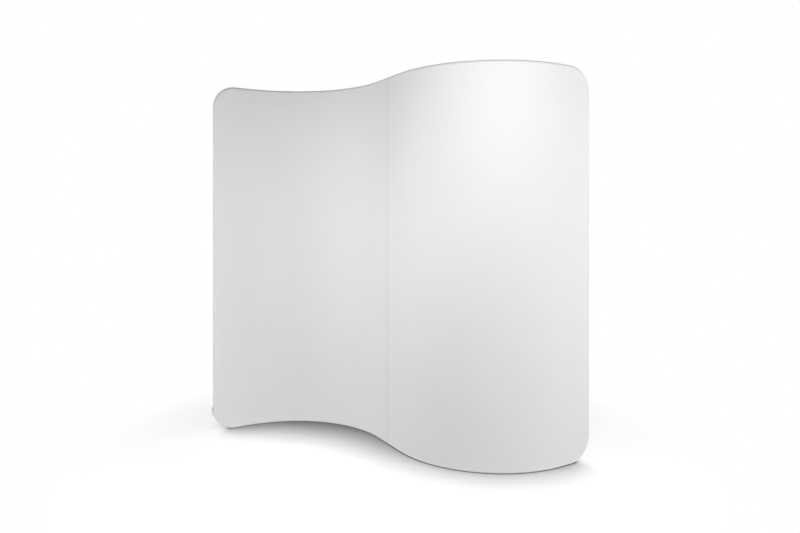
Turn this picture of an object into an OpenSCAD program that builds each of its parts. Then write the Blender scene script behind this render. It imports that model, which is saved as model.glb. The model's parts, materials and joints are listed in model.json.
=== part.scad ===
// Free-standing display wall: an S-curved frame of plug-together aluminium tubes
// in a white pillowcase cover of stretch fabric. The cover closes with a zip that
// runs along its lower edge and ends a hand's breadth up each side.
// Millimetres. X runs along the chord of the S and Z is up. The front faces -Y.
// The origin is the middle of the lower edge, on the floor.

/* [Wall] */
// Height of the wall over its cover
wall_h = 2300; // [1800:10:2500]
// Radius of the two quarter-circle curves, to the tube's centre line
curve_r = 660; // [600:10:900]

/* [Tubes] */
// Outer diameter of the frame tubes
tube_d = 32; // [30:1:38]
// Wall thickness of the frame tubes
tube_wall = 1.5; // [1.2:0.1:2]
// Radius of the four corner bends, to the tube's centre line
corner_r = 130; // [100:5:250]
// Straight leg beyond each end of a corner bend
corner_leg = 30; // [20:1:60]
// Half length of a tee along the rail
tee_half = 92; // [40:1:120]
// Reach of a tee's stub from the rail's centre line
tee_stub = 32; // [28:1:60]

/* [Plug joints] */
// Length of the drawn-in tube end that plugs into the next tube
spigot_len = 50; // [40:1:70]
// Radial play of the plugged end
spigot_play = 0.2; // [0.1:0.05:0.4]
// Length of the cone between the full tube and its drawn-in end
neck_len = 2; // [1.5:0.5:4]
// Chamfer on the tip of the drawn-in end
tip_chamfer = 0.8; // [0.4:0.1:1]
// Straight length that a rail keeps beyond the plugged end
rail_spare = 2; // [1:1:20]

/* [Snap buttons] */
// Diameter of a snap button
button_d = 8; // [6:0.5:9]
// Height that a button stands proud of the tube
button_proud = 3; // [2:0.25:4]
// Height of the button's domed top
button_dome = 1.5; // [1:0.25:2]
// Rim of the flange that keeps a button in its tube
button_rim = 1.2; // [1:0.1:1.5]
// Thickness of that flange
button_flange = 1; // [0.8:0.1:1.2]
// Play around a button in its hole
button_play = 0.3; // [0.2:0.05:0.4]
// Thickness of the spring strip
leaf_t = 0.8; // [0.6:0.1:1]
// Width of the spring strip
leaf_w = 8; // [6:0.5:10]
// Flat length of the strip under the button
leaf_flat = 12; // [11:0.5:14]
// Length of the spring from its button to its bend
leaf_reach = 24; // [18:1:26]
// Radius of the bend at the root of the spring
leaf_bend = 3; // [2:0.5:4]

/* [Cover] */
// Thickness of the stretch fabric
fabric_t = 0.6; // [0.5:0.05:1]
// Gap between the tubes and the fabric
cover_gap = 0.3; // [0.3:0.05:0.6]
// Width of the overlocked seam between the two panels
seam_w = 3; // [2:0.2:4]
// Height that the seam stands proud of the fabric
seam_proud = 0.3; // [0.2:0.05:0.8]

/* [Zip] */
// Width of the closed chain
chain_w = 7; // [6:0.5:9]
// Thickness of the closed chain
chain_t = 2.6; // [2:0.1:3]
// Visible width of each tape
tape_w = 7; // [5:0.5:10]
// Thickness of the tapes
tape_t = 0.5; // [0.4:0.05:0.8]
// Gap between the chain, the tapes and the panels
zip_gap = 0.3; // [0.2:0.05:0.4]
// Height of the zip's ends above the corner bends
zip_rise = 20; // [16:1:60]
// Length of an end stop
stop_len = 3; // [2:0.5:5]
// Length of the slider
slider_len = 16; // [14:0.5:20]
// Thickness of the slider's outer plate
slider_plate = 1.4; // [1:0.1:1.6]
// Play between the slider and what it runs on
slider_play = 0.3; // [0.2:0.05:0.3]
// Width of the slider's side flanges
slider_flange = 1.3; // [1:0.1:1.6]
// Width of the post that parts the chain in the slider
slider_post_w = 3.2; // [2.4:0.2:4]
// Length of that post
slider_post_len = 3.5; // [2.5:0.5:4.5]
// Thickness of the slider's bail
bail_t = 1.4; // [1:0.1:1.6]
// Width of the bail
bail_w = 3.4; // [2.4:0.2:4]
// Length of the pull's grip
pull_len = 36; // [24:1:50]
// Width of the pull's grip
pull_w = 11; // [9:0.5:14]
// Thickness of the pull
pull_t = 3; // [2.2:0.2:3.4]
// Diameter of the pull's crossbar
pull_bar_d = 2; // [1.5:0.1:2.2]

/* [Hidden] */
$fn = 96;
eps = 0.01;
big = 100;

tube_r = tube_d / 2;
bore_r = tube_r - tube_wall;
spigot_r = bore_r - spigot_play;
neck_lap = tube_wall;
spigot_bore_r = spigot_r - tube_wall;

// Layers outside a tube, counted from its centre line
cover_ri = tube_r + cover_gap;
cover_ro = cover_ri + fabric_t;
seam_ro = cover_ro + seam_proud;
tape_ri = cover_ro + zip_gap;
tape_ro = tape_ri + tape_t;
tape_folds = 3;
tape_near = asin((chain_w / 2 + zip_gap) / tape_ri);
tape_far = asin((chain_w / 2 + zip_gap + tape_w) / tape_ro);
tape_fold = (tape_far - tape_near) / tape_folds;
chain_ri = tape_ri;
chain_ro = chain_ri + chain_t;

// The closed chain is what the wall stands on
z_bottom = chain_ro;
z_top = wall_h - seam_ro;
z_middle = (z_bottom + z_top) / 2;
z_low_bend = z_bottom + corner_r;
z_high_bend = z_top - corner_r;

// Stretches of the S, from its middle outwards
rail_end = spigot_len + rail_spare;
mid_run = tee_half + rail_end;
end_run = rail_end + corner_leg;
post_run = end_run + corner_r;

// Heading of the middle stretch that puts both ends on the chord
heading = -atan2(curve_r + post_run, mid_run + curve_r);

// Snap buttons
button_r = button_d / 2;
hole_r = button_r + button_play;
flange_r = button_r + button_rim;
button_tip = tube_r + button_proud;
flange_top = sqrt(pow(spigot_bore_r, 2) - pow(flange_r, 2)) - button_play;
leaf_top = flange_top - button_flange;
leaf_far = sqrt(pow(spigot_bore_r, 2) - pow(leaf_w / 2, 2)) - spigot_play;
dome_r = (pow(button_r, 2) + pow(button_dome, 2)) / (2 * button_dome);
station = spigot_len / 2;
bend_steps = 10;

// Zip
zip_half = chain_w / 2;
slider_half_w = zip_half + slider_play + slider_flange;
slot_half = slider_half_w + zip_gap;
seam_slot = seam_w / 2;
plate_in = chain_ro + slider_play;
plate_out = plate_in + slider_plate;
sole_play = slider_play * 2 / 3;
pull_nose = norm([pull_t, pull_bar_d]) / 2;
bar_out = plate_out + slider_play + pull_nose;
window_h = bar_out - plate_out + pull_bar_d / 2 + slider_play;
bail_out = plate_out + window_h + bail_t;
bail_half = slider_len / 2 - bail_t;
window_half = bail_half - bail_t;
bar_drop = window_half - pull_bar_d / 2 - slider_play;
arm_len = bail_half + bar_drop + slider_play * 2;
arm_in = bail_w / 2 + slider_play;
zip_top = z_low_bend + zip_rise;
z_left_stop = z_low_bend + slider_len / 2 + slider_play;

// Every plug joint: its name, kind, side (-1 left, 0 centre, 1 right), level (-1 low, 1 high)
JOINTS = [
    ["tee_top_left", "tee", -1, 1],
    ["tee_top_right", "tee", 1, 1],
    ["tee_bottom_left", "tee", -1, -1],
    ["tee_bottom_right", "tee", 1, -1],
    ["rail_top_left", "corner", -1, 1],
    ["rail_top_right", "corner", 1, 1],
    ["rail_bottom_left", "corner", -1, -1],
    ["rail_bottom_right", "corner", 1, -1],
    ["post_left_head", "post_end", -1, 1],
    ["post_right_head", "post_end", 1, 1],
    ["post_left_foot", "post_end", -1, -1],
    ["post_right_foot", "post_end", 1, -1],
    ["post_left_middle", "post_mid", -1, 0],
    ["post_right_middle", "post_mid", 1, 0],
    ["post_centre_head", "centre_end", 0, 1],
    ["post_centre_foot", "centre_end", 0, -1],
    ["post_centre_middle", "centre_mid", 0, 0]
];

// ---------- Frames along the S ----------

// The left half is the right half turned by 180 degrees about Z
module on_side(side) rotate([0, 0, side < 0 ? 180 : 0]) children();

// Every node is built along its own S, which leaves the origin along X, and is then
// turned as a whole so that the ends of the S lie on the chord
module wall_frame() rotate([0, 0, heading]) children();

// End of the right-hand curve: X runs outwards along the straight end
module end_frame()
    translate([mid_run + curve_r, curve_r, 0])
        rotate([0, 0, 90])
            children();

// ---------- Sweeps of a 2D section ----------
// A section for the rows has X across the path (- is the right half's front) and Y up.
// A section for an edge has X across the path and Y outwards from the tube's centre line.

module run(length) rotate([90, 0, 90]) linear_extrude(length) children();

module curve()
    translate([mid_run, curve_r, 0])
        rotate([0, 0, -90])
            rotate_extrude(angle = 90)
                translate([curve_r, 0])
                    mirror([1, 0])
                        children();

module bend(level)
    end_frame()
        translate([end_run, 0, level < 0 ? z_low_bend : z_high_bend])
            rotate([-90, 0, 0])
                rotate([0, 0, level < 0 ? 0 : -90])
                    rotate_extrude(angle = 90)
                        translate([corner_r, 0])
                            mirror([1, -1])
                                children();

module upright(from, to)
    end_frame()
        translate([post_run, 0, from])
            linear_extrude(to - from)
                mirror([1, -1])
                    children();

// The whole S at one section. $side tells the section which half it is in.
module row_sweep() {
    $side = 1;
    translate([-mid_run, 0, 0])
        run(2 * mid_run)
            children();
    for (side = [-1, 1]) {
        $side = side;
        on_side(side) {
            curve() children();
            end_frame() run(end_run) children();
        }
    }
}

module at_level(level)
    translate([0, level < 0 ? z_bottom : z_top])
        mirror([0, level < 0 ? 1 : 0])
            children();

// ---------- Tubes ----------

module tube_section()
    difference() {
        circle(tube_r);
        circle(bore_r);
    }

// Drawn-in tube end. Z = 0 is where the next tube begins, and +Z is the tip. It laps
// the full tube behind its neck.
module spigot()
    rotate_extrude()
        polygon([
            [bore_r, -neck_len - neck_lap], [tube_r, -neck_len - neck_lap], [tube_r, -neck_len],
            [spigot_r, 0], [spigot_r, spigot_len - tip_chamfer],
            [spigot_r - tip_chamfer, spigot_len], [spigot_bore_r, spigot_len],
            [spigot_bore_r, 0], [bore_r, -neck_len]
        ]);

// A plug joint's own frame: Z along the spigot to its tip, +X the way the button points
module at_joint(j) {
    kind = j[1];
    level = j[3];
    z_row = level < 0 ? z_bottom : z_top;
    on_side(j[2])
        if (kind == "tee")
            translate([tee_half, 0, z_row])
                rotate([level < 0 ? 180 : 0, 0, 0])
                    rotate([0, 90, 0])
                        children();
        else if (kind == "corner")
            end_frame()
                translate([rail_end, 0, z_row])
                    rotate([level < 0 ? 0 : 180, 0, 0])
                        rotate([0, -90, 0])
                            children();
        else if (kind == "post_end")
            end_frame()
                translate([post_run, 0, z_row - level * (corner_r + corner_leg)])
                    rotate([0, level < 0 ? 0 : 180, 0])
                        rotate([0, 0, level < 0 ? 180 : 0])
                            children();
        else if (kind == "post_mid")
            end_frame()
                translate([post_run, 0, z_middle])
                    rotate([0, 0, 180])
                        children();
        else if (kind == "centre_end")
            translate([0, 0, z_row - level * tee_stub])
                rotate([level < 0 ? 0 : 180, 0, 0])
                    children();
        else
            translate([0, 0, z_middle])
                children();
}

function joint_named(name) = [for (j = JOINTS) if (j[0] == name) j][0];

// Holes for the snap buttons of the named joints, through one wall
module button_holes(names)
    for (name = names)
        at_joint(joint_named(name))
            translate([leaf_top, 0, station])
                rotate([0, 90, 0])
                    cylinder(h = tube_d, r = hole_r);

module spigots(names)
    for (name = names)
        at_joint(joint_named(name))
            spigot();

function side_word(side) = side < 0 ? "left" : "right";
function level_word(level) = level < 0 ? "bottom" : "top";

// Tee: a short piece of rail with a spigot at each end and a stub for the centre post
module tee(level) {
    word = level_word(level);
    joints = [
        str("tee_", word, "_left"), str("tee_", word, "_right"),
        level < 0 ? "post_centre_foot" : "post_centre_head"
    ];
    z_row = level < 0 ? z_bottom : z_top;
    half = tee_half - neck_len;
    color("silver")
        wall_frame()
            difference() {
                union() {
                    translate([0, 0, z_row])
                        rotate([level < 0 ? 0 : 180, 0, 0])
                            difference() {
                                union() {
                                    translate([-half, 0, 0]) rotate([0, 90, 0]) cylinder(h = 2 * half, r = tube_r);
                                    cylinder(h = tee_stub - neck_len, r = tube_r);
                                }
                                translate([-tee_half, 0, 0]) rotate([0, 90, 0]) cylinder(h = 2 * tee_half, r = bore_r);
                                cylinder(h = tee_stub, r = bore_r);
                            }
                    spigots(joints);
                }
                button_holes(joints);
            }
}

// Curved rail: straight at both ends, where it takes the spigots
module rail(side, level) {
    at = [0, level < 0 ? z_bottom : z_top];
    word = level_word(level);
    color("silver")
        wall_frame()
            difference() {
                on_side(side) {
                    translate([tee_half, 0, 0]) run(rail_end) translate(at) tube_section();
                    curve() translate(at) tube_section();
                    end_frame() run(rail_end) translate(at) tube_section();
                }
                button_holes([
                    str("tee_", word, "_", side_word(side)),
                    str("rail_", word, "_", side_word(side))
                ]);
            }
}

// Corner bend with a straight leg and a spigot at each end
module corner(side, level) {
    joints = [
        str("rail_", level_word(level), "_", side_word(side)),
        str("post_", side_word(side), level < 0 ? "_foot" : "_head")
    ];
    leg = corner_leg - neck_len;
    z_row = level < 0 ? z_bottom : z_top;
    z_bend = level < 0 ? z_low_bend : z_high_bend;
    color("silver")
        wall_frame()
            difference() {
                union() {
                    on_side(side) {
                        end_frame() translate([end_run - leg, 0, z_row]) run(leg) tube_section();
                        bend(level) tube_section();
                        upright(min(z_bend, z_bend - level * leg), max(z_bend, z_bend - level * leg))
                            tube_section();
                    }
                    spigots(joints);
                }
                button_holes(joints);
            }
}

// Side posts stand on the corner bends, in two sections that plug at half height
module side_post(side, upper) {
    name = side_word(side);
    leg_low = z_low_bend + corner_leg;
    leg_high = z_high_bend - corner_leg;
    color("silver")
        wall_frame()
            difference() {
                union() {
                    on_side(side)
                        if (upper)
                            upright(z_middle, leg_high) tube_section();
                        else
                            upright(leg_low, z_middle - neck_len) tube_section();
                    if (!upper) spigots([str("post_", name, "_middle")]);
                }
                button_holes([str("post_", name, "_middle"), str("post_", name, upper ? "_head" : "_foot")]);
            }
}

module centre_post(upper) {
    from = upper ? z_middle : z_bottom + tee_stub;
    to = upper ? z_top - tee_stub : z_middle - neck_len;
    color("silver")
        wall_frame()
            difference() {
                union() {
                    translate([0, 0, from]) linear_extrude(to - from) tube_section();
                    if (!upper) spigots(["post_centre_middle"]);
                }
                button_holes(["post_centre_middle", upper ? "post_centre_head" : "post_centre_foot"]);
            }
}

// ---------- Snap buttons and their springs ----------

module snap_button(j)
    color("gainsboro")
        wall_frame()
            at_joint(j)
                translate([0, 0, station])
                    rotate([0, 90, 0]) {
                        translate([0, 0, leaf_top]) cylinder(h = button_flange, r = flange_r);
                        intersection() {
                            translate([0, 0, leaf_top]) cylinder(h = button_tip - leaf_top, r = button_r);
                            translate([0, 0, button_tip - dome_r]) sphere(dome_r);
                        }
                    }

function unit(v) = v / norm(v);
function left_of(v) = [-v[1], v[0]];

// Direction and reach of the mitre at point i of the polyline p
function mitre(p, i) =
    let (
        before = i == 0 ? unit(p[1] - p[0]) : unit(p[i] - p[i - 1]),
        after = i == len(p) - 1 ? before : unit(p[i + 1] - p[i]),
        mean = unit(before + after)
    )
    left_of(mean) / (mean * before);

// Outline of a strip of thickness t along the polyline p
function strip(p, t) = concat(
    [for (i = [0 : len(p) - 1]) p[i] + mitre(p, i) * t / 2],
    [for (i = [len(p) - 1 : -1 : 0]) p[i] - mitre(p, i) * t / 2]
);

// One strip bent into a V: flat under the button, round at its root, and
// resting with its far end on the opposite wall of the tube
module snap_spring(j) {
    near = leaf_top - leaf_t / 2;
    far = leaf_far - leaf_t / 2;
    line = concat(
        [[near, leaf_flat / 2], [near, -leaf_flat / 2]],
        [for (i = [0 : bend_steps])
            [leaf_bend * cos(180 * i / bend_steps), -leaf_reach - leaf_bend * sin(180 * i / bend_steps)]],
        [[-far, leaf_flat / 2]]
    );
    color("lightsteelblue")
        wall_frame()
            at_joint(j)
                translate([0, 0, station])
                    rotate([90, 0, 0])
                        linear_extrude(leaf_w, center = true)
                            polygon(strip(line, leaf_t));
}

// ---------- Cover ----------

// Quarter of the fabric's ring on one side of the edge line, short of the slot there
module edge_fabric(q, slot)
    intersection() {
        difference() {
            circle(cover_ro);
            circle(cover_ri);
        }
        translate([q < 0 ? -big : slot, 0]) square([big - slot, big]);
    }

// Flat strip of fabric that runs inwards from the edge
module sheet_strip(q, length)
    translate([q < 0 ? -cover_ro : cover_ri, -length]) square([fabric_t, length]);

module panel_edge(q, slot) {
    edge_fabric(q, slot);
    sheet_strip(q, corner_r);
}

module panel_row(q) {
    at_level(1) edge_fabric(q, seam_slot);
    at_level(-1) edge_fabric(q, slot_half);
    translate([0, z_top]) sheet_strip(q, z_top - z_bottom);
}

// One face of the cover, with its share of the wrap round the outer tubes
module panel(q)
    wall_frame() {
        row_sweep() panel_row(q * $side);
        for (side = [-1, 1])
            on_side(side) {
                bend(-1) panel_edge(q * side, slot_half);
                upright(z_low_bend, zip_top) panel_edge(q * side, slot_half);
                upright(zip_top, z_high_bend) panel_edge(q * side, seam_slot);
                bend(1) panel_edge(q * side, seam_slot);
            }
    }

module front_panel() color("white") panel(-1);

module back_panel() color("whitesmoke") panel(1);

// Overlocked seam along the top and down both sides to the zip
module cover_seam() {
    module section()
        intersection() {
            difference() {
                circle(seam_ro);
                circle(cover_ri);
            }
            translate([zip_gap - seam_slot, 0]) square([2 * (seam_slot - zip_gap), big]);
        }
    color("white") wall_frame() {
        row_sweep() at_level(1) section();
        for (side = [-1, 1])
            on_side(side) {
                bend(1) section();
                upright(zip_top, z_high_bend) section();
            }
    }
}

// ---------- Zip ----------

// A tape follows the tube in a few flat folds
module zip_tape(q) {
    function arc(r) = [for (i = [0 : tape_folds]) let (a = tape_near + i * tape_fold)
        r / cos(tape_fold / 2) * [sin(a), cos(a)]];
    function back(list) = [for (i = [len(list) - 1 : -1 : 0]) list[i]];
    module section(q)
        mirror([q < 0 ? 1 : 0, 0])
            polygon(concat(arc(tape_ro), back(arc(tape_ri))));
    color("white") wall_frame() {
        row_sweep() at_level(-1) section(q * $side);
        for (side = [-1, 1])
            on_side(side) {
                bend(-1) section(q * side);
                upright(z_low_bend, zip_top) section(q * side);
            }
    }
}

module chain_section() translate([-zip_half, chain_ri]) square([chain_w, chain_t]);

// The chain starts inside the slider and ends at the stop on the right-hand side
module zip_chain()
    color("whitesmoke") wall_frame() {
        row_sweep() at_level(-1) chain_section();
        for (side = [-1, 1])
            on_side(side) bend(-1) chain_section();
        on_side(-1)
            upright(z_low_bend, z_low_bend + slider_len / 2 - slider_post_len - slider_play)
                chain_section();
        on_side(1) upright(z_low_bend, zip_top - stop_len - zip_gap) chain_section();
    }

module zip_stops()
    color("whitesmoke") wall_frame() {
        on_side(-1)
            upright(z_left_stop, z_left_stop + stop_len)
                chain_section();
        on_side(1) upright(zip_top - stop_len, zip_top) chain_section();
    }

// A stretch of the zip's own curve, centred on the slider's place at the left-hand post.
// from and to are distances along the zip, and down the wall is positive.
module slider_sweep(from, to) {
    per_mm = 180 / (PI * (corner_r + plate_in));
    on_side(-1)
        end_frame()
            translate([end_run, 0, z_low_bend])
                rotate([-90, 0, 0])
                    rotate([0, 0, from * per_mm])
                        rotate_extrude(angle = (to - from) * per_mm)
                            translate([corner_r, 0])
                                mirror([1, -1])
                                    children();
}

// A straight piece at the slider: X outwards from the tube's centre line, Y down the wall
module slider_block(width)
    on_side(-1)
        end_frame()
            translate([post_run, 0, z_low_bend])
                rotate([-90, 0, 0])
                    linear_extrude(width, center = true)
                        children();

module zip_slider() {
    half = slider_len / 2;
    color("gainsboro") wall_frame() {
        slider_sweep(-half, half) {
            translate([-slider_half_w, plate_in]) square([2 * slider_half_w, slider_plate]);
            for (s = [-1, 1])
                translate([s * (slider_half_w - slider_flange / 2) - slider_flange / 2, tape_ro + slider_play])
                    square([slider_flange, plate_in - tape_ro - slider_play]);
            intersection() {
                difference() {
                    circle(cover_ro - sole_play);
                    circle(tube_r + sole_play);
                }
                translate([-slider_half_w, 0]) square([2 * slider_half_w, big]);
            }
        }
        slider_sweep(-half, slider_post_len - half)
            translate([-slider_post_w / 2, tube_r + 2 * sole_play])
                square([slider_post_w, plate_in - tube_r - 2 * sole_play + eps]);
        slider_block(bail_w)
            difference() {
                translate([plate_in + slider_plate / 2, -bail_half])
                    square([bail_out - plate_in - slider_plate / 2, 2 * bail_half]);
                translate([plate_out, -window_half])
                    square([window_h, 2 * window_half]);
            }
    }
}

// The pull hangs by its crossbar from the lower end of the bail
module zip_pull() {
    arm_w = pull_w / 2 - arm_in;
    color("white")
        wall_frame()
            on_side(-1)
                end_frame()
                    translate([post_run + bar_out, 0, z_low_bend - bar_drop])
                        rotate([90, 0, 90]) {
                            rotate([0, 90, 0]) cylinder(h = 2 * arm_in + arm_w, d = pull_bar_d, center = true);
                            linear_extrude(pull_t, center = true) {
                                for (s = [-1, 1])
                                    translate([s * (arm_in + arm_w / 2), -arm_len / 2])
                                        square([arm_w, arm_len + pull_bar_d], center = true);
                                translate([-pull_w / 2, -arm_len - pull_len + pull_w / 2])
                                    square([pull_w, pull_len - pull_w / 2]);
                                translate([0, -arm_len - pull_len + pull_w / 2]) circle(d = pull_w);
                            }
                        }
}

// ---------- Nodes ----------

tee(1);  // tee_top
tee(-1);  // tee_bottom
for (side = [-1, 1], level = [-1, 1]) {
    word = str(level_word(level), "_", side_word(side));
    rail(side, level);
    corner(side, level);
}
for (side = [-1, 1]) {
    side_post(side, false);
    side_post(side, true);
}
centre_post(false);  // post_centre_lower
centre_post(true);  // post_centre_upper
front_panel();
back_panel();
cover_seam();
zip_tape(-1);  // zip_tape_front
zip_tape(1);  // zip_tape_back
zip_chain();
zip_stops();
zip_slider();
zip_pull();
for (j = JOINTS) {
    snap_button(j);
    snap_spring(j);
}
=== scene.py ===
# %% [markdown]
# # A free-standing S-curved display wall
#
# The real wall is a frame of plug-together aluminium tubes inside a white pillowcase cover of
# stretch fabric. The cover closes with a zip that runs along its lower edge. This script
# dresses the exact tube frame: it makes the stretched cloth, its overlocked seam, the zip
# with every tooth, and the finishes of the metal inside.
#
# The first step is to load the frame. Every node comes in at its real place, in metres, and
# isn't moved. The box of the bare frame is kept, to be printed beside the dressed wall's box.

# %% Load the frame
import json
import math

import bmesh
import bpy
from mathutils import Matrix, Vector


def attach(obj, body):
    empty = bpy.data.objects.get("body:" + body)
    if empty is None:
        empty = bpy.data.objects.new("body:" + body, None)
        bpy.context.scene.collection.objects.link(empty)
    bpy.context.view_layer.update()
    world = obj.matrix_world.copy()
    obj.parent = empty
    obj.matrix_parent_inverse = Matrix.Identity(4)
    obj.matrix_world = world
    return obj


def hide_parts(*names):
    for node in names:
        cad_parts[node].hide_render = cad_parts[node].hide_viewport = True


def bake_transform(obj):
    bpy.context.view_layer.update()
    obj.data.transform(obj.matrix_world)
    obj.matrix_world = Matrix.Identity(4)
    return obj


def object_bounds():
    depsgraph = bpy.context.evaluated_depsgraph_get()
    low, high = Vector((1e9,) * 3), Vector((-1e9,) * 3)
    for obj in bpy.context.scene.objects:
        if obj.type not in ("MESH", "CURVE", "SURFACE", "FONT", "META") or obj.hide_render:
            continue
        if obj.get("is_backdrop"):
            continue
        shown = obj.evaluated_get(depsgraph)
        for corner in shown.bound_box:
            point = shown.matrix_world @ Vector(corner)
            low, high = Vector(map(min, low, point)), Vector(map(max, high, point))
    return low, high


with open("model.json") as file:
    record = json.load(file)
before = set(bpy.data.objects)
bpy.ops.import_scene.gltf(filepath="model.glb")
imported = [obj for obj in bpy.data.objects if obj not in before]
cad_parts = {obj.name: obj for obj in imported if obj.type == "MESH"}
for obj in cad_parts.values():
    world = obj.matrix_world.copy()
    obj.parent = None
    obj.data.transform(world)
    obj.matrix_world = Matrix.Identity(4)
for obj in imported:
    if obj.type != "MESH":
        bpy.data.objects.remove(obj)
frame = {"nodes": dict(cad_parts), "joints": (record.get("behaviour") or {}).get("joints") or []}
cad_box = [list(corner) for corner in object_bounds()]

# %% [markdown]
# ## The wall's own sizes
#
# The wall is easiest to think of unrolled: a flat rounded rectangle, as the cloth was cut.
# U runs along the wall from its middle, Z is the height and D is the distance behind the
# tubes' centre line, so the front is at minus D. Everything is laid out in that flat frame
# first and is bent to the S at the end, by one rule. The sizes are the frame's own.

# %% Sizes in metres
WALL_H = 2.300
CURVE_R = 0.660
CORNER_R = 0.130
MID_RUN = 0.144
POST_RUN = 0.212

# The layers over a tube, as distances from its centre line
COVER_R = 0.0169
SEAM_R = 0.0172
TAPE_R = 0.0177
CHAIN_R = 0.0198
CLOTH_T = 0.0006

# Half of the slot between the two cloths, at the seam and at the zip, and how far the
# zip climbs above the corner bends
SEAM_HALF = 0.00115
SLOT_HALF = 0.0054
ZIP_RISE = 0.020

# Places of the tubes' centre line in the flat frame
Z_BOTTOM = CHAIN_R
Z_TOP = WALL_H - SEAM_R
Z_LOW_BEND = Z_BOTTOM + CORNER_R
Z_HIGH_BEND = Z_TOP - CORNER_R
ZIP_TOP = Z_LOW_BEND + ZIP_RISE
CURVE_END = MID_RUN + CURVE_R * math.pi / 2
HALF_U = CURVE_END + POST_RUN
BEND_U = HALF_U - CORNER_R
HEADING = -math.atan2(CURVE_R + POST_RUN, MID_RUN + CURVE_R)
print(f"unrolled: {2 * (HALF_U + COVER_R):.3f} m long, {Z_TOP + SEAM_R:.3f} m high")

# %% [markdown]
# ## Writing sums as nodes
#
# Both the bending rule and the finishes are sums. A small helper adds one Math node for each
# sum and returns its output, so a rule can be written on a few lines and read like a formula.

# %% Helpers for nodes
def fill(tree, socket, value):
    """Puts a number, colour or vector in a socket, or links another node's output to it."""
    if isinstance(value, bpy.types.NodeSocket):
        tree.links.new(value, socket)
    elif value is not None:
        socket.default_value = value


def add(tree, kind, inputs=(), **settings):
    """Adds a node, sets its choices, then fills its inputs by name or by number."""
    node = tree.nodes.new(kind)
    for name, value in settings.items():
        setattr(node, name, value)
    for key, value in dict(inputs).items():
        fill(tree, node.inputs[key], value)
    return node


def sums(tree):
    """Gives a function that adds one Math node: do("ADD", a, b)."""
    def do(operation, *values):
        node = add(tree, "ShaderNodeMath", enumerate(values), operation=operation)
        return node.outputs[0]
    return do


def new_tree(name, inputs, outputs, kind="GeometryNodeTree"):
    """Makes a node group with named sockets. Each is (name, socket type, default)."""
    tree = bpy.data.node_groups.new(name, kind)
    for way, sockets in (("INPUT", inputs), ("OUTPUT", outputs)):
        for label, socket_type, default in sockets:
            socket = tree.interface.new_socket(label, in_out=way, socket_type=socket_type)
            if default is not None:
                socket.default_value = default
    start = tree.nodes.new("NodeGroupInput")
    end = tree.nodes.new("NodeGroupOutput")
    return tree, start.outputs, end.inputs


GEOMETRY = ("Geometry", "NodeSocketGeometry", None)
MATERIAL = ("Material", "NodeSocketMaterial", None)
VECTOR = ("Vector", "NodeSocketVector", None)


def number(name, default):
    """A socket for one number."""
    return (name, "NodeSocketFloat", default)


print("node helpers are ready")

# %% [markdown]
# ## The rule that bends the flat wall to its S
#
# Half of the S is a short straight in the middle, a quarter circle and another straight.
# The other half is the same turned by half a turn. So a flat point at U goes as far along
# the middle straight as it can, then turns by (U - straight) / radius, at most a right angle,
# and what is left of U goes on straight. Its distance D moves it along the normal there.
# As a Geometry Nodes group, one rule bends the cloth, the seam, the tapes and every tooth.

# %% The bending group
sizes = [number("Curve Radius", CURVE_R), number("Middle Run", MID_RUN), number("Heading", HEADING)]
bend, start, end = new_tree("bend_to_s", [GEOMETRY, *sizes], [GEOMETRY])
do = sums(bend)
position = add(bend, "GeometryNodeInputPosition").outputs[0]
flat = add(bend, "ShaderNodeSeparateXYZ", {0: position}).outputs
far = do("ABSOLUTE", flat["X"])
half = do("SIGN", flat["X"])
past = do("SUBTRACT", far, start["Middle Run"])
turn = do("MINIMUM", do("MAXIMUM", do("DIVIDE", past, start["Curve Radius"]), 0.0), math.pi / 2)
arc_length = do("MULTIPLY", start["Curve Radius"], math.pi / 2)
left_over = do("MAXIMUM", do("SUBTRACT", past, arc_length), 0.0)
sine, cosine = do("SINE", turn), do("COSINE", turn)
along = do("MULTIPLY_ADD", start["Curve Radius"], sine, do("MINIMUM", far, start["Middle Run"]))
aside = do("MULTIPLY_ADD", start["Curve Radius"], do("SUBTRACT", 1.0, cosine), left_over)
x = do("SUBTRACT", do("MULTIPLY", half, along), do("MULTIPLY", flat["Y"], sine))
y = do("ADD", do("MULTIPLY", half, aside), do("MULTIPLY", flat["Y"], cosine))
head_sine, head_cosine = do("SINE", start["Heading"]), do("COSINE", start["Heading"])
placed = add(bend, "ShaderNodeCombineXYZ", {
    "X": do("SUBTRACT", do("MULTIPLY", x, head_cosine), do("MULTIPLY", y, head_sine)),
    "Y": do("ADD", do("MULTIPLY", x, head_sine), do("MULTIPLY", y, head_cosine)),
    "Z": flat["Z"],
})
moved = add(bend, "GeometryNodeSetPosition",
            {"Geometry": start["Geometry"], "Position": placed.outputs[0]})
fill(bend, end["Geometry"], moved.outputs[0])
print("bend_to_s:", len(bend.nodes), "nodes")


# %% Turning a node tree's result into a plain piece
def bend_and_paint(tree, geometry, start, end):
    """Ends a tree: bends its geometry to the S and gives it its material."""
    bent = add(tree, "GeometryNodeGroup", {"Geometry": geometry}, node_tree=bend)
    painted = add(tree, "GeometryNodeSetMaterial",
                  {"Geometry": bent.outputs[0], "Material": start["Material"]})
    fill(tree, end["Geometry"], painted.outputs[0])


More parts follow.
